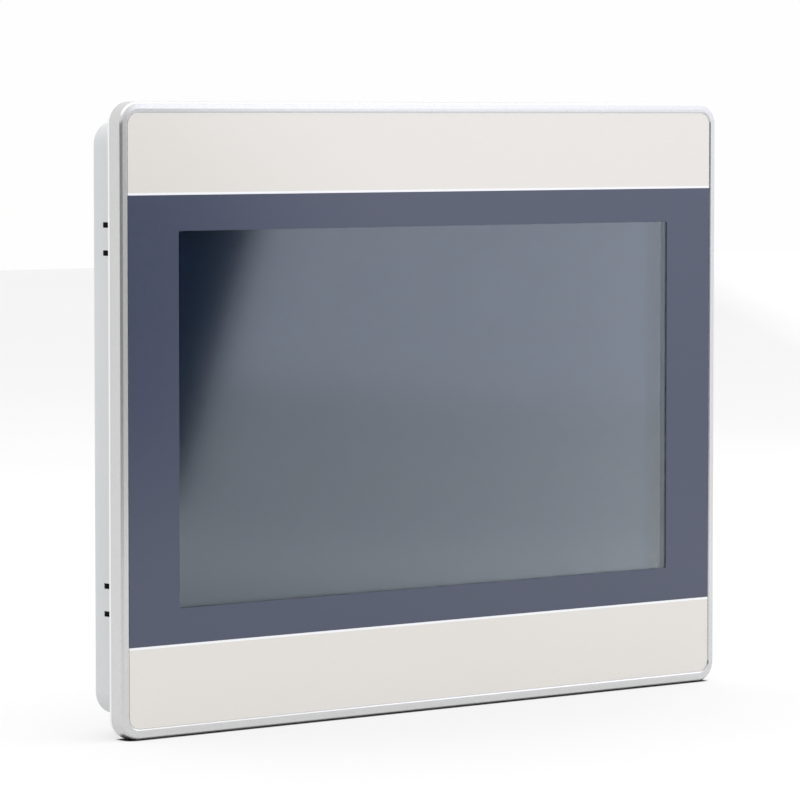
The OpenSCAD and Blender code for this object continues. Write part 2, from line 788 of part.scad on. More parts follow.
module rear_cover() {
    back_r = 1.5;
    notch_gap = 0.3;
    notch_x = [terminal_x - terminal_w / 2 - notch_gap, terminal_x + terminal_w / 2 + notch_gap];
    notch_z = port_wall_z + terminal_d + notch_gap;
    notch_wall = 1.6;
    vent_w = 2;
    vent_h = 24;
    vent_step = 6;
    color("lightgray") difference() {
        union() {
            difference() {
                union() {
                    edged_plate(housing_w, housing_h, housing_r, -groove_d, housing_d, 0.3, back_r);
                    edged_plate(block_w, block_h, 7, housing_d - 3, block_d, 0.3, back_r);
                }
                slab(-groove_d - eps, housing_d - plate_t)
                    rounded_rect(housing_w - 2 * wall_t, housing_h - 2 * wall_t, housing_r - wall_t);
                slab(housing_d - plate_t - eps, inner_y)
                    rounded_rect(block_w - 2 * plate_t, block_h - 2 * plate_t, 4.8);
            }
            // Walls of the service recess and of the terminal's notch
            slab(recess_floor_y, block_d - 1) service_outline(2);
            block([notch_x[0] - notch_wall, notch_x[1] + notch_wall], [part_y + 0.3, block_d - 1],
                  [port_wall_z + 0.5, notch_z + notch_wall]);
        }
        slab(recess_floor_y + recess_floor_t, block_d + 1) service_outline(0);
        slab(recess_floor_y - eps, block_d) {
            translate([dip_x, recess_z]) square([dip_w + 0.6, dip_h + 0.6], center = true);
            translate([reset_x, recess_z]) circle(2.1);
        }
        block(notch_x, [part_y - 0.2, block_d + 1], [port_wall_z - 2, notch_z]);
        // Serial ports
        for (x = com_x) {
            translate([x, com_y, port_wall_z - 1]) linear_extrude(plate_t + 1.2)
                polygon(d_outline(18.2, 9.4, 2.4));
            for (s = [-1, 1]) rod_z(x + s * com_screw / 2, com_y, 1.6, port_wall_z - 1, port_in_z + 0.2);
        }
        port_cut(jack_x - 8.2, jack_x + 8.2, part_y - 0.2, 27.4);
        port_cut(host_x - 7.2, host_x + 7.2, part_y - 0.2, 22);
        port_cut(device_x - 6.2, device_x + 6.2, part_y - 0.2, 26.1);
        // Ventilation slots, at the top and beside the label
        for (i = [0:vents - 1]) let (x = vent_step * (i - (vents - 1) / 2))
            slab(inner_y - eps, block_d + eps) translate([x, 55]) rounded_rect(vent_w, vent_h, 0.99);
        for (i = [0:6]) slab(inner_y - eps, block_d + eps)
            translate([-52, vent_step * (i - 3) - 10]) rounded_rect(26, vent_w, 0.99);
        slab(block_d - 0.2, block_d + 1) translate([label_x, label_z]) rounded_rect(label_w + 1, label_h + 1, 2);
        // Slots for the panel clamps, in pairs on all four walls
        for (s = [-1, 1], side = [-1, 1], k = [-0.5, 0.5]) {
            z = s * clamp_z + k * slot_gap;
            x = s * clamp_x + k * slot_gap;
            block([side * housing_w / 2 - 5, side * housing_w / 2 + 5], clamp_slot_y,
                  [z - slot_w / 2, z + slot_w / 2]);
            block([x - slot_w / 2, x + slot_w / 2], clamp_slot_y,
                  [side * housing_h / 2 - 5, side * housing_h / 2 + 5]);
        }
        for (p = cover_bosses) {
            rod_y(p[0], p[1], 1.7, 10, housing_d + 1);
            rod_y(p[0], p[1], 3.3, housing_d - counterbore_d, housing_d + 1);
        }
    }
}

module cover_screws() {
    color("silver") for (p = cover_bosses) pan_screw(p[0], p[1], housing_d - counterbore_d, 9);
}

module rating_label() {
    color("white") slab(block_d - 0.2, block_d - 0.08) translate([label_x, label_z])
        rounded_rect(label_w, label_h, 1.5);
}

front_bezel();
graphic_overlay();
touch_film();
touch_spacer();
touch_glass();
touch_tape();
touch_tail();
lcd_frame();
lcd_cell();
diffuser_films();
light_guide();
lcd_mid_frame();
backlight_strip();
lcd_back_plate();
lcd_driver_board();
lcd_cable();
backlight_cable();
lcd_cushions();
chassis_plate();
chassis_screws();
board_standoffs();
mainboard();
board_screws();
board_sockets();
processor();
heat_sink();
memory_chips();
power_inductors();
board_capacitors();
fuse();
coin_cell_holder();
coin_cell();
buzzer();
power_terminal();
terminal_bars();
terminal_screw(1);  // terminal_screw_1
terminal_screw(2);  // terminal_screw_2
terminal_screw(3);  // terminal_screw_3
wire_clamp(1);  // wire_clamp_1
wire_clamp(2);  // wire_clamp_2
wire_clamp(3);  // wire_clamp_3
com_shells();
com_inserts();
com_pins();
jack_screws();
ethernet_jack();
usb_host_port();
usb_device_port();
dip_switch_body();
dip_slider(1);  // dip_slider_1
dip_slider(2);  // dip_slider_2
dip_slider(3);  // dip_slider_3
dip_slider(4);  // dip_slider_4
reset_switch_body();
reset_button();
panel_gasket();
rear_cover();
cover_screws();
rating_label();
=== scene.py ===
"""Looks of the HMI touch panel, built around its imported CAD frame. Metres, Z up."""
import json
import math

import bmesh
import bpy
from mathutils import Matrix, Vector


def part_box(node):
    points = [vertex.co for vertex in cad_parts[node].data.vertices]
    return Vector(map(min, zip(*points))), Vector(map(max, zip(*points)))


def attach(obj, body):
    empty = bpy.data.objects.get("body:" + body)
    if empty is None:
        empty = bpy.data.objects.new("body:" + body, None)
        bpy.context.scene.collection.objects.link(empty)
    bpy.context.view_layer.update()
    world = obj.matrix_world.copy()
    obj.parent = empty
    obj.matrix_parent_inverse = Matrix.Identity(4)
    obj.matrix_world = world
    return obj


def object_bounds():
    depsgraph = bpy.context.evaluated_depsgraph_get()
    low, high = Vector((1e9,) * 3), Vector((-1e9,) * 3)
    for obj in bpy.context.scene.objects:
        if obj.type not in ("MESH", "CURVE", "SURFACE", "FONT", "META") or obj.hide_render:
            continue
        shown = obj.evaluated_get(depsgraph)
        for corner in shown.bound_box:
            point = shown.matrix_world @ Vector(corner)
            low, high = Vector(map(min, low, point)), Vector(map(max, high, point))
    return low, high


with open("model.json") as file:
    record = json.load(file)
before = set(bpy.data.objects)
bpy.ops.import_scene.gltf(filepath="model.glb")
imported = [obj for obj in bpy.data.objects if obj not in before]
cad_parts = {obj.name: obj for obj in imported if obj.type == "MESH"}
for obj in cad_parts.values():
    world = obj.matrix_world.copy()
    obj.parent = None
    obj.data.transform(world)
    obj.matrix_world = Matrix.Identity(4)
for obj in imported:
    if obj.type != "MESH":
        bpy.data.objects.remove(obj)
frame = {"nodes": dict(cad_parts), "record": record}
cad_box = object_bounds()
nodes = frame["nodes"]
MM = 0.001


# ---- building a material ----

class Finish:
    """A material around one Principled shader, with object coordinates in metres."""

    def __init__(self, name, **sockets):
        self.material = bpy.data.materials.new(name)
        self.material.use_nodes = True
        self.tree = self.material.node_tree
        self.shader = self.tree.nodes["Principled BSDF"]
        self.output = self.tree.nodes["Material Output"]
        self.place = self.add("ShaderNodeTexCoord").outputs["Object"]
        for socket, value in sockets.items():
            self.shader.inputs[socket.replace("_", " ")].default_value = value

    def add(self, kind, settings=None, **inputs):
        """A node of that kind; inputs are values or other nodes' outputs."""
        node = self.tree.nodes.new(kind)
        for name, value in (settings or {}).items():
            setattr(node, name, value)
        for name, value in inputs.items():
            self.feed(node.inputs[name.replace("_", " ")], value)
        return node

    def feed(self, socket, value):
        if isinstance(value, bpy.types.NodeSocket):
            self.tree.links.new(value, socket)
        else:
            socket.default_value = value

    def math(self, operation, a, b=0.0):
        node = self.add("ShaderNodeMath", {"operation": operation})
        self.feed(node.inputs[0], a)
        self.feed(node.inputs[1], b)
        return node.outputs[0]

    def stretched(self, x, y, z):
        """The coordinates times a factor along each axis."""
        return self.add("ShaderNodeMapping", Vector=self.place, Scale=(x, y, z)).outputs[0]

    def noise(self, size, detail=2.0, roughness=0.5, place=None):
        """Noise whose grains are about that size, in metres."""
        node = self.add("ShaderNodeTexNoise", Vector=place or self.place, Scale=1 / size,
                        Detail=detail, Roughness=roughness)
        return node.outputs["Fac"]

    def cells(self, size):
        """Distance from the middles of random cells of about that size."""
        node = self.add("ShaderNodeTexVoronoi", Vector=self.place, Scale=1 / size)
        return node.outputs["Distance"]

    def between(self, factor, low, high, start=0.3, end=0.7):
        """A number from low to high as factor goes from start to end."""
        node = self.add("ShaderNodeMapRange", Value=factor)
        for name, value in (("From Min", start), ("From Max", end), ("To Min", low), ("To Max", high)):
            node.inputs[name].default_value = value
        return node.outputs[0]

    def blend(self, factor, a, b):
        """Colour a where factor is 0, colour b where it is 1."""
        node = self.add("ShaderNodeMix", {"data_type": "RGBA"})
        for socket, value in ((node.inputs[0], factor), (node.inputs[6], a), (node.inputs[7], b)):
            if isinstance(value, tuple):
                value = (*value, 1.0)
            self.feed(socket, value)
        return node.outputs[2]

    def ramp(self, factor, stops):
        """Colours along a ramp, from (position, colour) stops."""
        node = self.add("ShaderNodeValToRGB", Fac=factor)
        elements = node.color_ramp.elements
        while len(elements) < len(stops):
            elements.new(0.5)
        for element, (position, colour) in zip(elements, stops):
            element.position = position
            element.color = (*colour, 1.0)
        return node.outputs["Color"]

    def colour(self, value):
        self.feed(self.shader.inputs["Base Color"], value)

    def rough(self, value):
        self.feed(self.shader.inputs["Roughness"], value)

    def relief(self, height, depth, shader=None):
        """Bumps of that depth, in metres, where height goes from 0 to 1."""
        bump = self.add("ShaderNodeBump", Height=height, Strength=1.0, Distance=depth)
        self.feed((shader or self.shader).inputs["Normal"], bump.outputs[0])

    def axis(self, name):
        """One of the coordinates: X, Y or Z."""
        return self.add("ShaderNodeSeparateXYZ", Vector=self.place).outputs[name]

    def depth_in(self, half_x, half_z, radius):
        """How deep a point lies inside a rounded rectangle around the origin, drawn in X and Z."""
        squares = []
        for axis, half in (("X", half_x), ("Z", half_z)):
            beyond = self.math("SUBTRACT", self.math("ABSOLUTE", self.axis(axis)), half - radius)
            squares.append(self.math("POWER", self.math("MAXIMUM", beyond), 2.0))
        return self.math("SUBTRACT", radius, self.math("SQRT", self.math("ADD", *squares)))

    def beside(self, low, high, margin):
        """1 within the X and Z sides of a box that is that much wider all round, else 0."""
        inside = []
        for axis in "XZ":
            start, end = (getattr(corner, axis.lower()) for corner in (low, high))
            offset = self.math("ABSOLUTE", self.math("SUBTRACT", self.axis(axis), (start + end) / 2))
            inside.append(self.math("LESS_THAN", offset, (end - start) / 2 + margin))
        return self.math("MULTIPLY", *inside)


def shade(colour, factor):
    return tuple(c * factor for c in colour)


# ---- the finishes of the front ----

BAND_HALF = 75.35 * MM     # half height of the overlay's blue band
LINE = 0.8 * MM            # white line at each border of the band
LIT_HALF = 108.1 * MM      # half width of the display inside its dark border
REAR_HIGHLIGHT_DEPTH = 1.3 * MM       # the bezel's paint stops this far before its rear face, leaving a pale band that is a painted highlight along the rear edge
PAINT_METALLIC = 0.72      # share of metal in the bezel's paint
WHITE_LINE = (0.80, 0.81, 0.83)
SCREEN_GLOSS = (0.85, 0.90, 0.98)    # the touch panel and the display reflect a little blue


def silver_bezel():
    """Satin silver paint with fine flakes over pale plastic. Near the rear face the pale plastic shows
    unpainted, and along the rear edge this pale band is a painted highlight.
    """
    f = Finish("silver_bezel", IOR=1.5)
    flakes = f.cells(0.45 * MM)
    cloud = f.noise(60 * MM, 3)
    # Behind this the pale plastic shows without metal: a painted highlight along the rear edge
    bare_rear_and_highlight = f.math("GREATER_THAN", f.axis("Y"), -REAR_HIGHLIGHT_DEPTH)
    bright, middle, dull = (0.65, 0.655, 0.65), (0.62, 0.625, 0.62), (0.575, 0.58, 0.575)
    base = f.ramp(flakes, [(0.0, bright), (0.45, middle), (0.9, dull)])
    paint = f.blend(f.between(cloud, 0.0, 0.12), base, (0.60, 0.605, 0.60))
    plastic = f.blend(cloud, (0.78, 0.79, 0.78), (0.82, 0.83, 0.82))
    f.colour(f.blend(bare_rear_and_highlight, paint, plastic))
    f.feed(f.shader.inputs["Metallic"], f.between(bare_rear_and_highlight, PAINT_METALLIC, 0.0, 0.0, 1.0))
    f.rough(f.between(f.noise(0.7 * MM, 3), 0.17, 0.23))
    f.relief(f.noise(0.5 * MM, 3, 0.6), 0.003 * MM)
    return f


def printed_overlay():
    """Satin film: silver bands above and below, a slate blue band between two white lines."""
    f = Finish("printed_overlay", IOR=1.62)
    height = f.math("ABSOLUTE", f.axis("Z"))
    silver = f.math("GREATER_THAN", height, BAND_HALF + LINE)
    outside_band = f.math("GREATER_THAN", height, BAND_HALF)
    fine = f.noise(0.35 * MM, 2)
    cloud = f.noise(90 * MM, 2)
    blue = f.blend(f.between(fine, 0.0, 1.0), (0.037, 0.048, 0.088), (0.043, 0.054, 0.096))
    pearl = f.blend(f.between(fine, 0.0, 1.0), (0.650, 0.628, 0.588), (0.690, 0.668, 0.626))
    pearl = f.blend(f.between(cloud, 0.0, 0.25), pearl, (0.690, 0.670, 0.636))
    band = f.blend(outside_band, blue, WHITE_LINE)
    f.colour(f.blend(silver, band, pearl))
    f.feed(f.shader.inputs["Metallic"], f.math("MULTIPLY", silver, 0.06))
    f.rough(f.between(f.noise(1.5 * MM, 3), 0.16, 0.20))
    f.relief(f.noise(0.25 * MM, 2), 0.004 * MM)
    return f


def clear_sheet(name, reflectance, roughness, tint):
    """A clear sheet: straight through, with a weak reflection from each face."""
    f = Finish(name)
    f.tree.nodes.remove(f.shader)
    through = f.add("ShaderNodeBsdfTransparent", Color=(*tint, 1.0))
    gloss = f.add("ShaderNodeBsdfGlossy", Color=(*SCREEN_GLOSS, 1.0))
    f.feed(gloss.inputs["Roughness"], f.between(f.noise(20 * MM, 2), roughness * 0.97, roughness * 1.03))
    f.relief(f.noise(0.12 * MM, 1), 0.0002 * MM, gloss)
    fresnel = f.add("ShaderNodeFresnel", IOR=reflectance)
    mix = f.add("ShaderNodeMixShader", Fac=fresnel.outputs[0])
    f.feed(mix.inputs[1], through.outputs[0])
    f.feed(mix.inputs[2], gloss.outputs[0])
    f.feed(f.output.inputs["Surface"], mix.outputs[0])
    return f


def display_glass():
    """Dark display under its polariser, with a greener border outside the lit area whose reflection is
    painted dim and teal.
    """
    f = Finish("lcd_panel", IOR=1.4)
    border = f.math("GREATER_THAN", f.math("ABSOLUTE", f.axis("X")), LIT_HALF)
    lit = f.blend(f.between(f.noise(0.2 * MM, 1), 0.0, 1.0), (0.007, 0.018, 0.050), (0.008, 0.020, 0.055))
    f.colour(f.blend(border, lit, (0.003, 0.008, 0.013)))
    gloss = f.between(f.noise(15 * MM, 2), 0.07, 0.09)
    f.rough(f.math("ADD", gloss, f.math("MULTIPLY", border, 0.1)))
    # The border's dim teal reflection is painted: it stands in for the dark edge of the touch panel that
    # the border mirrors
    f.feed(f.shader.inputs["Specular Tint"], f.blend(border, SCREEN_GLOSS, (0.10, 0.22, 0.26)))
    return f


# ---- the finishes of everything else ----

def moulded(name, colour, roughness, texture=0.25 * MM, depth=0.01 * MM, mottle=0.06):
    """Moulded plastic, rubber or foam: fine spark texture, slight shade changes and uneven gloss."""
    f = Finish(name, IOR=1.5)
    cloud = f.between(f.noise(25 * MM, 4), 0.0, 1.0)
    f.colour(f.blend(cloud, shade(colour, 1 - mottle), shade(colour, 1 + mottle)))
    f.rough(f.between(f.noise(4 * MM, 4), roughness - 0.05, roughness + 0.06))
    f.relief(f.noise(texture, 3, 0.6), depth)
    return f


def metal(name, colour, roughness, grain=(1, 1, 1), size=0.4 * MM, mottle=0.08):
    """Bare or plated metal; grain squeezes the marks along each axis."""
    f = Finish(name, Metallic=1.0)
    marks = f.noise(size, 3, 0.6, f.stretched(*grain))
    tarnish = f.between(f.noise(12 * MM, 3), 0.0, 1.0)
    plain = f.blend(tarnish, shade(colour, 1 - mottle), shade(colour, 1 + mottle))
    f.colour(f.blend(f.between(marks, 0.0, 0.35), plain, shade(colour, 0.8)))
    f.rough(f.between(marks, roughness - 0.06, roughness + 0.08))
    f.relief(marks, 0.003 * MM)
    return f


def circuit_board(name, colour):
    """Solder mask over copper tracks and filled areas."""
    f = Finish(name, IOR=1.5, Coat_Weight=0.3, Coat_Roughness=0.2)
    tracks = f.add("ShaderNodeTexBrick", {"offset": 0.37, "squash": 0.6}, Vector=f.place, Scale=140.0)
    tracks.inputs["Mortar Size"].default_value = 0.012
    copper = f.between(tracks.outputs["Fac"], 0.0, 1.0, 0.4, 0.6)
    patches = f.between(f.noise(18 * MM, 1), 0.0, 1.0, 0.47, 0.5)
    mask = f.blend(patches, shade(colour, 0.75), colour)
    f.colour(f.blend(copper, mask, shade(colour, 1.7)))
    f.rough(f.between(f.noise(2 * MM, 2), 0.3, 0.4))
    f.relief(copper, 0.02 * MM)
    return f


def clear_plastic(name, colour, roughness=0.08):
    """Clear moulding or glass, with faint flow lines."""
    f = Finish(name, IOR=1.49, Transmission_Weight=0.9)
    f.colour(f.blend(f.between(f.noise(15 * MM, 2), 0.0, 1.0), shade(colour, 0.96), colour))
    f.rough(f.between(f.noise(6 * MM, 2), roughness, roughness + 0.06))
    return f


def flat_cable(name, colour):
    """Ribbon of parallel conductors under a clear film."""
    f = Finish(name, IOR=1.5)
    stripes = f.add("ShaderNodeTexWave", {"bands_direction": "X"}, Vector=f.place, Scale=310.0)
    f.colour(f.blend(f.between(stripes.outputs["Fac"], 0.0, 1.0), shade(colour, 0.7), colour))
    f.rough(f.between(f.noise(3 * MM, 2), 0.3, 0.4))
    f.relief(stripes.outputs["Fac"], 0.03 * MM)
    return f


COVER_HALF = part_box("rear_cover")[1]                   # its x and z: half the housing's sides
COVER_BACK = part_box("rear_cover")[1].y                 # rear face of the raised block
STEP_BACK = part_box("cover_screws")[1].y - 0.9 * MM     # rear face beside the raised block
block_corners = [v.co for v in nodes["rear_cover"].data.vertices if v.co.y > STEP_BACK + 2 * MM]
BLOCK_HALF = (max(co.x for co in block_corners), max(co.z for co in block_corners))
CASE_CORNER = 7.8 * MM                                 # corner radius of the housing
BLOCK_CORNER = 7 * MM                                  # and of the raised block
SHADE_DEPTH = 1.9 * MM                                 # the painted shade covers what lies deeper than this and than this near the front, where the clamps' slots are: they end before this Y
SLOT_DEPTH = 0.15 * MM                                 # and than this near the front, where the
SLOT_END = 10.5 * MM                                   # clamps' slots are: they end before this Y
OUTER_POCKETS = (                                      # pockets left without the painted shade, and their margins
    (("dip_switch_body", "reset_switch_body"), 4.2 * MM),
    (("power_terminal",), 2 * MM),
)


def housing():
    """Light grey moulded case with a fine spark-eroded texture; its inside and the clamps' slots are
    painted near black, a painted shade.
    """
    f = Finish("grey_housing", IOR=1.46)
    cloud = f.between(f.noise(70 * MM, 3), 0.0, 1.0)
    speck = f.between(f.noise(0.5 * MM, 2), 0.0, 1.0)
    plain = f.blend(cloud, (0.575, 0.595, 0.605), (0.605, 0.62, 0.625))
    outer = f.blend(f.math("MULTIPLY", speck, 0.3), plain, (0.53, 0.55, 0.56))
    y = f.axis("Y")
    reach = f.between(y, SLOT_DEPTH, SHADE_DEPTH, SLOT_END, SLOT_END + 1 * MM)
    in_case = f.math("GREATER_THAN", f.depth_in(COVER_HALF.x, COVER_HALF.z, CASE_CORNER), reach)
    in_case = f.math("MULTIPLY", in_case, f.math("LESS_THAN", y, STEP_BACK - SHADE_DEPTH))
    in_block = f.math("GREATER_THAN", f.depth_in(*BLOCK_HALF, BLOCK_CORNER), reach)
    in_block = f.math("MULTIPLY", in_block, f.math("LESS_THAN", y, COVER_BACK - SHADE_DEPTH))
    inside = f.math("MAXIMUM", in_case, in_block)
    # The service recess and the terminal's notch are outer faces
    for names, margin in OUTER_POCKETS:
        boxes = [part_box(name) for name in names]
        low = Vector(min(box[0][k] for box in boxes) for k in range(3))
        high = Vector(max(box[1][k] for box in boxes) for k in range(3))
        inside = f.math("MULTIPLY", inside, f.math("SUBTRACT", 1.0, f.beside(low, high, margin)))
    # Near black wherever inside is 1: painted shade in the case's hollows and in the clamps' slots
    painted_shade_colour = (0.035, 0.033, 0.030)
    f.colour(f.blend(inside, outer, painted_shade_colour))
    f.rough(f.between(f.noise(9 * MM, 4), 0.50, 0.60))
    f.relief(f.noise(0.4 * MM, 3, 0.65), 0.02 * MM)
    return f


def blank_label():
    """Matt silver label with a printed frame and empty fields, no lettering."""
    f = Finish("blank_label", IOR=1.5)
    low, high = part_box("rating_label")
    line = 0.35 * MM
    border = 2.2 * MM
    edge = f.beside(low, high, -border)
    field = f.beside(low, high, -border - line)
    ink = f.math("SUBTRACT", edge, field)
    fields = 4
    for k in range(1, fields):
        z = low.z + (high.z - low.z) * k / fields
        offset = f.math("ABSOLUTE", f.math("SUBTRACT", f.axis("Z"), z))
        rule = f.math("LESS_THAN", offset, line / 2)
        ink = f.math("ADD", ink, f.math("MULTIPLY", field, rule))
    paper = f.blend(f.between(f.noise(20 * MM, 3), 0.0, 1.0), (0.70, 0.71, 0.71), (0.76, 0.77, 0.77))
    f.colour(f.blend(ink, paper, (0.10, 0.11, 0.12)))
    f.rough(f.between(f.noise(3 * MM, 3), 0.32, 0.42))
    f.relief(f.noise(0.2 * MM, 2), 0.002 * MM)
    return f


FINISHES = {
    "silver_bezel": silver_bezel,
    "printed_overlay": printed_overlay,
    "touch_film": lambda: clear_sheet("touch_film", 1.36, 0.075, (0.97, 0.98, 0.98)),
    "touch_glass": lambda: clear_sheet("touch_glass", 1.36, 0.075, (0.95, 0.98, 0.97)),
    "lcd_panel": display_glass,
    "grey_housing": housing,
    "adhesive": lambda: moulded("adhesive", (0.72, 0.73, 0.70), 0.35),
    "foam": lambda: moulded("foam", (0.03, 0.03, 0.032), 0.85, 0.5 * MM, 0.08 * MM),
    "flex_circuit": lambda: flat_cable("flex_circuit", (0.55, 0.30, 0.07)),
    "lcd_steel": lambda: metal("lcd_steel", (0.74, 0.76, 0.78), 0.55, (1, 1, 30)),
    "optical_film": lambda: moulded("optical_film", (0.82, 0.84, 0.86), 0.4, 0.1 * MM, 0.002 * MM, 0.02),
    "light_guide": lambda: clear_plastic("light_guide", (0.85, 0.92, 0.93)),
    "white_plastic": lambda: moulded("white_plastic", (0.8, 0.8, 0.79), 0.45),
    "led_strip": lambda: moulded("led_strip", (0.72, 0.60, 0.22), 0.4),
    "circuit_board": lambda: circuit_board("circuit_board", (0.012, 0.11, 0.042)),
    "flat_cable": lambda: flat_cable("flat_cable", (0.74, 0.72, 0.64)),
    "wire_insulation": lambda: moulded("wire_insulation", (0.33, 0.018, 0.016), 0.4),
    "zinc_sheet": lambda: metal("zinc_sheet", (0.60, 0.61, 0.60), 0.34, (1, 1, 12), 1.2 * MM, 0.14),
    "screw_zinc": lambda: metal("screw_zinc", (0.62, 0.63, 0.62), 0.24, (1, 1, 1), 0.3 * MM, 0.12),
    "brass_post": lambda: metal("brass_post", (0.70, 0.50, 0.19), 0.25),
    "socket_plastic": lambda: moulded("socket_plastic", (0.70, 0.65, 0.50), 0.45),
    "chip_black": lambda: moulded("chip_black", (0.022, 0.022, 0.025), 0.45, 0.15 * MM, 0.012 * MM),
    "anodised_sink": lambda: metal("anodised_sink", (0.07, 0.075, 0.08), 0.42, (1, 1, 20)),
    "ferrite": lambda: moulded("ferrite", (0.07, 0.07, 0.075), 0.65, 0.3 * MM, 0.03 * MM),
    "capacitor_can": lambda: metal("capacitor_can", (0.62, 0.62, 0.64), 0.22, (1, 14, 1)),
    "fuse_glass": lambda: clear_plastic("fuse_glass", (0.85, 0.9, 0.9), 0.03),
    "black_plastic": lambda: moulded("black_plastic", (0.02, 0.02, 0.021), 0.45),
    "cell_steel": lambda: metal("cell_steel", (0.66, 0.66, 0.67), 0.2),
    "terminal_green": lambda: moulded("terminal_green", (0.018, 0.17, 0.055), 0.4),
    "tinned_copper": lambda: metal("tinned_copper", (0.66, 0.65, 0.62), 0.3),
    "clamp_brass": lambda: metal("clamp_brass", (0.66, 0.60, 0.44), 0.26),
    "connector_nickel": lambda: metal("connector_nickel", (0.66, 0.64, 0.60), 0.2, (1, 1, 8), 0.6 * MM),
    "gold_contact": lambda: metal("gold_contact", (0.86, 0.62, 0.24), 0.2),
    "switch_red": lambda: moulded("switch_red", (0.36, 0.020, 0.018), 0.4),
    "slider_white": lambda: moulded("slider_white", (0.80, 0.80, 0.77), 0.4),
    "button_red": lambda: moulded("button_red", (0.45, 0.022, 0.018), 0.38),
    "gasket_rubber": lambda: moulded("gasket_rubber", (0.028, 0.028, 0.030), 0.8, 0.35 * MM, 0.05 * MM),
    "blank_label": blank_label,
}

slots = {part["node"]: part["material_slot"] for part in frame["record"]["subparts"]}
finishes = {slot: FINISHES[slot]() for slot in sorted(set(slots.values()))}
for name, node in nodes.items():
    node.data.materials.clear()
    node.data.materials.append(finishes[slots[name]].material)


# ---- small parts of the sockets, along the block's lower wall ----

def bevelled_block(mesh, x, y, z, bevel):
    """A block given by its two ends along X, Y and Z, with its edges bevelled."""
    corners = bmesh.ops.create_cube(mesh, size=1.0)["verts"]
    ends = (x, y, z)
    for corner in corners:
        corner.co = Vector(ends[k][int(corner.co[k] > 0)] for k in range(3))
    edges = {edge for corner in corners for edge in corner.link_edges}
    bmesh.ops.bevel(mesh, geom=list(edges), offset=bevel, segments=2, affect="EDGES", profile=0.6)


def bent_wire(mesh, path, radius, sides=10):
    """A round wire along a path of points that lie in one plane across X."""
    rings = []
    for k, point in enumerate(path):
        before = path[max(k - 1, 0)]
        after = path[min(k + 1, len(path) - 1)]
        along = (after - before).normalized()
        across = along.cross(Vector((1, 0, 0)))
        ring = []
        for i in range(sides):
            angle = 2 * math.pi * i / sides
            offset = Vector((math.cos(angle), 0, 0)) + across * math.sin(angle)
            ring.append(mesh.verts.new(point + offset * radius))
        rings.append(ring)
    for first, second in zip(rings, rings[1:]):
        for i in range(sides):
            j = (i + 1) % sides
            mesh.faces.new((first[i], first[j], second[j], second[i])).smooth = True
    mesh.faces.new(rings[0][::-1])
    mesh.faces.new(rings[-1])


def fixed_piece(name, mesh, slot):
    """Makes the finished mesh a piece of the panel, with the finish of that slot."""
    bmesh.ops.recalc_face_normals(mesh, faces=mesh.faces)
    data = bpy.data.meshes.new(name)
    mesh.to_mesh(data)
    mesh.free()
    data.materials.append(finishes[slot].material)
    piece = bpy.data.objects.new(name, data)
    bpy.context.scene.collection.objects.link(piece)
    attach(piece, "panel")


def socket_frame(node):
    """Middle along X, front end along Y and mouth along Z of a socket."""
    low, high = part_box(node)
    return (low.x + high.x) / 2, low.y, low.z


def ethernet_parts():
    """Eight sprung contacts, and the two lamp windows beside the latch's notch."""
    x, y, z = socket_frame("ethernet_jack")
    count = 8
    pitch = 1.02 * MM
    wire_radius = 0.21 * MM
    route = [(10.9, 0.9), (10.75, 2.0), (10.2, 3.2), (7.9, 7.6), (7.5, 8.6), (7.5, 10.6)]
    springs = bmesh.new()
    for i in range(count):
        wire_x = x + (i - (count - 1) / 2) * pitch
        path = [Vector((wire_x, y + a * MM, z + b * MM)) for a, b in route]
        bent_wire(springs, path, wire_radius)
    fixed_piece("ethernet_contacts", springs, "gold_contact")
    lamp_x = (4.1 * MM, 7.0 * MM)
    lamp_y = (y + 0.7 * MM, y + 2.7 * MM)
    lamp_z = (z - 0.08 * MM, z + 1 * MM)
    windows = bmesh.new()
    for side in (-1, 1):
        ends = sorted(x + side * end for end in lamp_x)
        bevelled_block(windows, ends, lamp_y, lamp_z, 0.15 * MM)
    fixed_piece("ethernet_lamps", windows, "white_plastic")


def usb_parts(name, node, tongue_x, tongue_y, contact_x, sides):
    """The moulded tongue of a USB socket and its contact strips, on the faces named by sides.
    The tongue's half width, its two faces and the strips' places are in millimetres."""
    x, y, z = socket_frame(node)
    mouth = z + 0.9 * MM
    root = z + 9 * MM
    faces = (y + tongue_y[0] * MM, y + tongue_y[1] * MM)
    tongue = bmesh.new()
    bevelled_block(tongue, (x - tongue_x * MM, x + tongue_x * MM), faces, (mouth, root), 0.2 * MM)
    fixed_piece(f"{name}_tongue", tongue, "black_plastic")
    strip_half = 0.5 * MM
    proud = 0.06 * MM
    strip_z = (mouth + 0.8 * MM, root - 1 * MM)
    strips = bmesh.new()
    for side in sides:
        strip_y = (faces[side] - proud, faces[side] + proud)
        for offset in contact_x:
            middle = x + offset * MM
            bevelled_block(strips, (middle - strip_half, middle + strip_half), strip_y, strip_z, 0.03 * MM)
    fixed_piece(f"{name}_contacts", strips, "gold_contact")


ethernet_parts()
usb_parts("usb_host", "usb_host_port", 5.75, (3.85, 5.9), (-3.5, -1.0, 1.0, 3.5), (0,))
usb_parts("usb_device", "usb_device_port", 2.95, (3.05, 6.55), (-1.25, 1.25), (0, 1))


# ---- studio ----

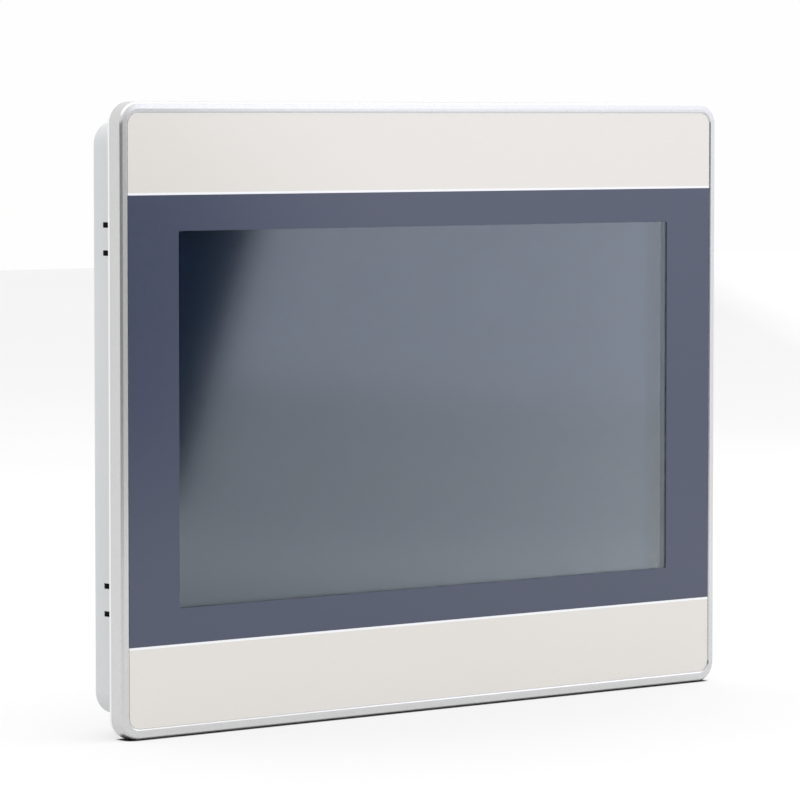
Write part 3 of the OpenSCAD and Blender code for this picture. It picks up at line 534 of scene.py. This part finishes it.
def glow(name, colour, strength, *slopes):
    """A material that only gives light, slightly uneven as a lit cloth is. Each slope
    (axis, start, end, factor) brightens it by that factor from start to end along the axis."""
    f = Finish(name)
    f.tree.nodes.remove(f.shader)
    light = f.add("ShaderNodeEmission", Strength=strength)
    for axis, start, end, factor in slopes:
        strength = f.math("MULTIPLY", strength, f.between(f.axis(axis), 1.0, factor, start, end))
        f.feed(light.inputs["Strength"], strength)
    f.feed(light.inputs["Color"], f.blend(f.noise(0.4, 1), shade(colour, 0.99), colour))
    f.feed(f.output.inputs["Surface"], light.outputs[0])
    f.material.cycles.emission_sampling = "NONE"
    return f.material


def stage_sheet(name, corners, material, hidden_from=()):
    """A flat sheet of the studio, which the named kinds of ray don't see."""
    mesh = bpy.data.meshes.new(name)
    mesh.from_pydata([Vector(corner) for corner in corners], [], [tuple(range(len(corners)))])
    mesh.materials.append(material)
    sheet = bpy.data.objects.new(name, mesh)
    bpy.context.scene.collection.objects.link(sheet)
    for ray in hidden_from:
        setattr(sheet, f"visible_{ray}", False)


FLOOR_HALF = 4
FLOOR_WHITE = 0.30
FLOOR_GLOW = 0.565
SHADOW_REACH = 2 * MM      # how near the table must be to the object to lie in its contact shadow
WALL_WAY = (0.77, -0.64)   # direction on the table, in X and Y, in which it gets brighter


def floor_finish():
    """White table that stays bright right up to the object, apart from its contact shadow."""
    f = Finish("floor", Roughness=0.9, IOR=1.3)
    open_sky = f.add("ShaderNodeAmbientOcclusion", {"samples": 8}, Distance=SHADOW_REACH).outputs["AO"]
    clear = f.between(open_sky, 0.0, 1.0, 0.5, 0.85)
    white = f.blend(f.noise(0.3, 2), (FLOOR_WHITE,) * 3, (FLOOR_WHITE + 0.02,) * 3)
    f.colour(f.blend(clear, (0.01, 0.01, 0.01), white))
    lit = f.math("MULTIPLY", clear, FLOOR_GLOW)
    # It gets brighter towards the lit wall, and beyond half a metre a little darker again
    across = f.math("MULTIPLY", f.axis("X"), WALL_WAY[0])
    across = f.math("ADD", across, f.math("MULTIPLY", f.axis("Y"), WALL_WAY[1]))
    lit = f.math("MULTIPLY", lit, f.between(across, 1.0, 1.35, 0.34, 0.5))
    lit = f.math("MULTIPLY", lit, f.between(across, 1.0, 0.8, 0.5, 0.8))
    f.feed(f.shader.inputs["Emission Strength"], lit)
    f.shader.inputs["Emission Color"].default_value = (1.0, 0.995, 0.995, 1.0)
    f.material.cycles.emission_sampling = "NONE"
    return f.material


low_z = cad_box[0].z
table = [(x * FLOOR_HALF, y * FLOOR_HALF, low_z) for x, y in ((-1, -1), (1, -1), (1, 1), (-1, 1))]
stage_sheet("floor", table, floor_finish())


def upright(start, end, top):
    """Corners of an upright sheet on the table, between two points in X and Y."""
    return [(*start, low_z), (*end, low_z), (*end, top), (*start, top)]


# The room behind the camera, seen only in reflections. It is dark, except for a grey stretch that
# the left rim reflects, and its right edge leans out, then back.
ROOM_TOP = 0.24
ROOM_Y = -0.79
GREY_START = 0.26
GREY_END = 0.40
LEAN_TOP = 0.16            # the leaning edge goes from here, above GREY_END,
LEAN_END = 0.25            # to here, at ROOM_TOP
REFLECTED_ONLY = ("camera", "diffuse", "shadow", "transmission")
DARK_WALLS = [
    [(GREY_END, ROOM_Y, low_z), (0.480, ROOM_Y, low_z), (0.543, ROOM_Y, 0.06),
     (GREY_END, ROOM_Y, LEAN_TOP)],
    upright((-0.6, ROOM_Y), (GREY_START, ROOM_Y), ROOM_TOP),
    upright((-0.9, -0.5), (-0.6, ROOM_Y), ROOM_TOP),
    upright((-0.9, 0.05), (-0.9, -0.5), ROOM_TOP),
]
dark_cloth = glow("dark_cloth", (0.03, 0.035, 0.045), 0.4)
for k, corners in enumerate(DARK_WALLS):
    stage_sheet(f"dark_wall_{k + 1}", corners, dark_cloth, REFLECTED_ONLY)
grey = [(GREY_START, ROOM_Y, low_z), (GREY_END, ROOM_Y, low_z), (GREY_END, ROOM_Y, LEAN_TOP),
        (LEAN_END, ROOM_Y, ROOM_TOP), (GREY_START, ROOM_Y, ROOM_TOP)]
stage_sheet("grey_wall", grey, glow("grey_cloth", (1.0, 1.0, 1.0), 0.58), REFLECTED_ONLY)

# The lit wall on the right, brighter higher up and nearer the camera, and the cloth over the object
CLOTH_HEIGHT = 1.3
lit_wall = glow("lit_wall", (0.98, 0.98, 1.06), 1.12, ("Z", 0.05, 0.45, 1.85), ("Y", -1.1, -1.6, 1.22))
stage_sheet("right_wall", upright((1.2, -2.2), (1.2, 0.8), CLOTH_HEIGHT), lit_wall, ("camera",))
cloth = [(x, y, CLOTH_HEIGHT) for x, y in ((-1.6, -1.0), (1.1, -1.0), (1.1, 1.0), (-1.6, 1.0))]
stage_sheet("overhead_cloth", cloth, glow("lit_cloth", (1.0, 1.0, 1.0), 1.8), ("camera",))

world = bpy.data.worlds.new("studio")
world.use_nodes = True
world.cycles.sampling_method = "NONE"
world.node_tree.nodes["Background"].inputs["Color"].default_value = (0.992, 0.99, 0.99, 1.0)
bpy.context.scene.world = world

camera = bpy.data.objects.new("camera", bpy.data.cameras.new("camera"))
camera.data.lens = 210.9
camera.data.sensor_width = 36
camera.location = (-1.0555, -1.2590, 0.1010)
camera.rotation_euler = (math.radians(90 - 3.444), 0, math.radians(-39.731))
bpy.context.scene.collection.objects.link(camera)
bpy.context.scene.camera = camera
bpy.context.scene.view_settings.view_transform = "Standard"
bpy.context.scene.cycles.transparent_max_bounces = 16
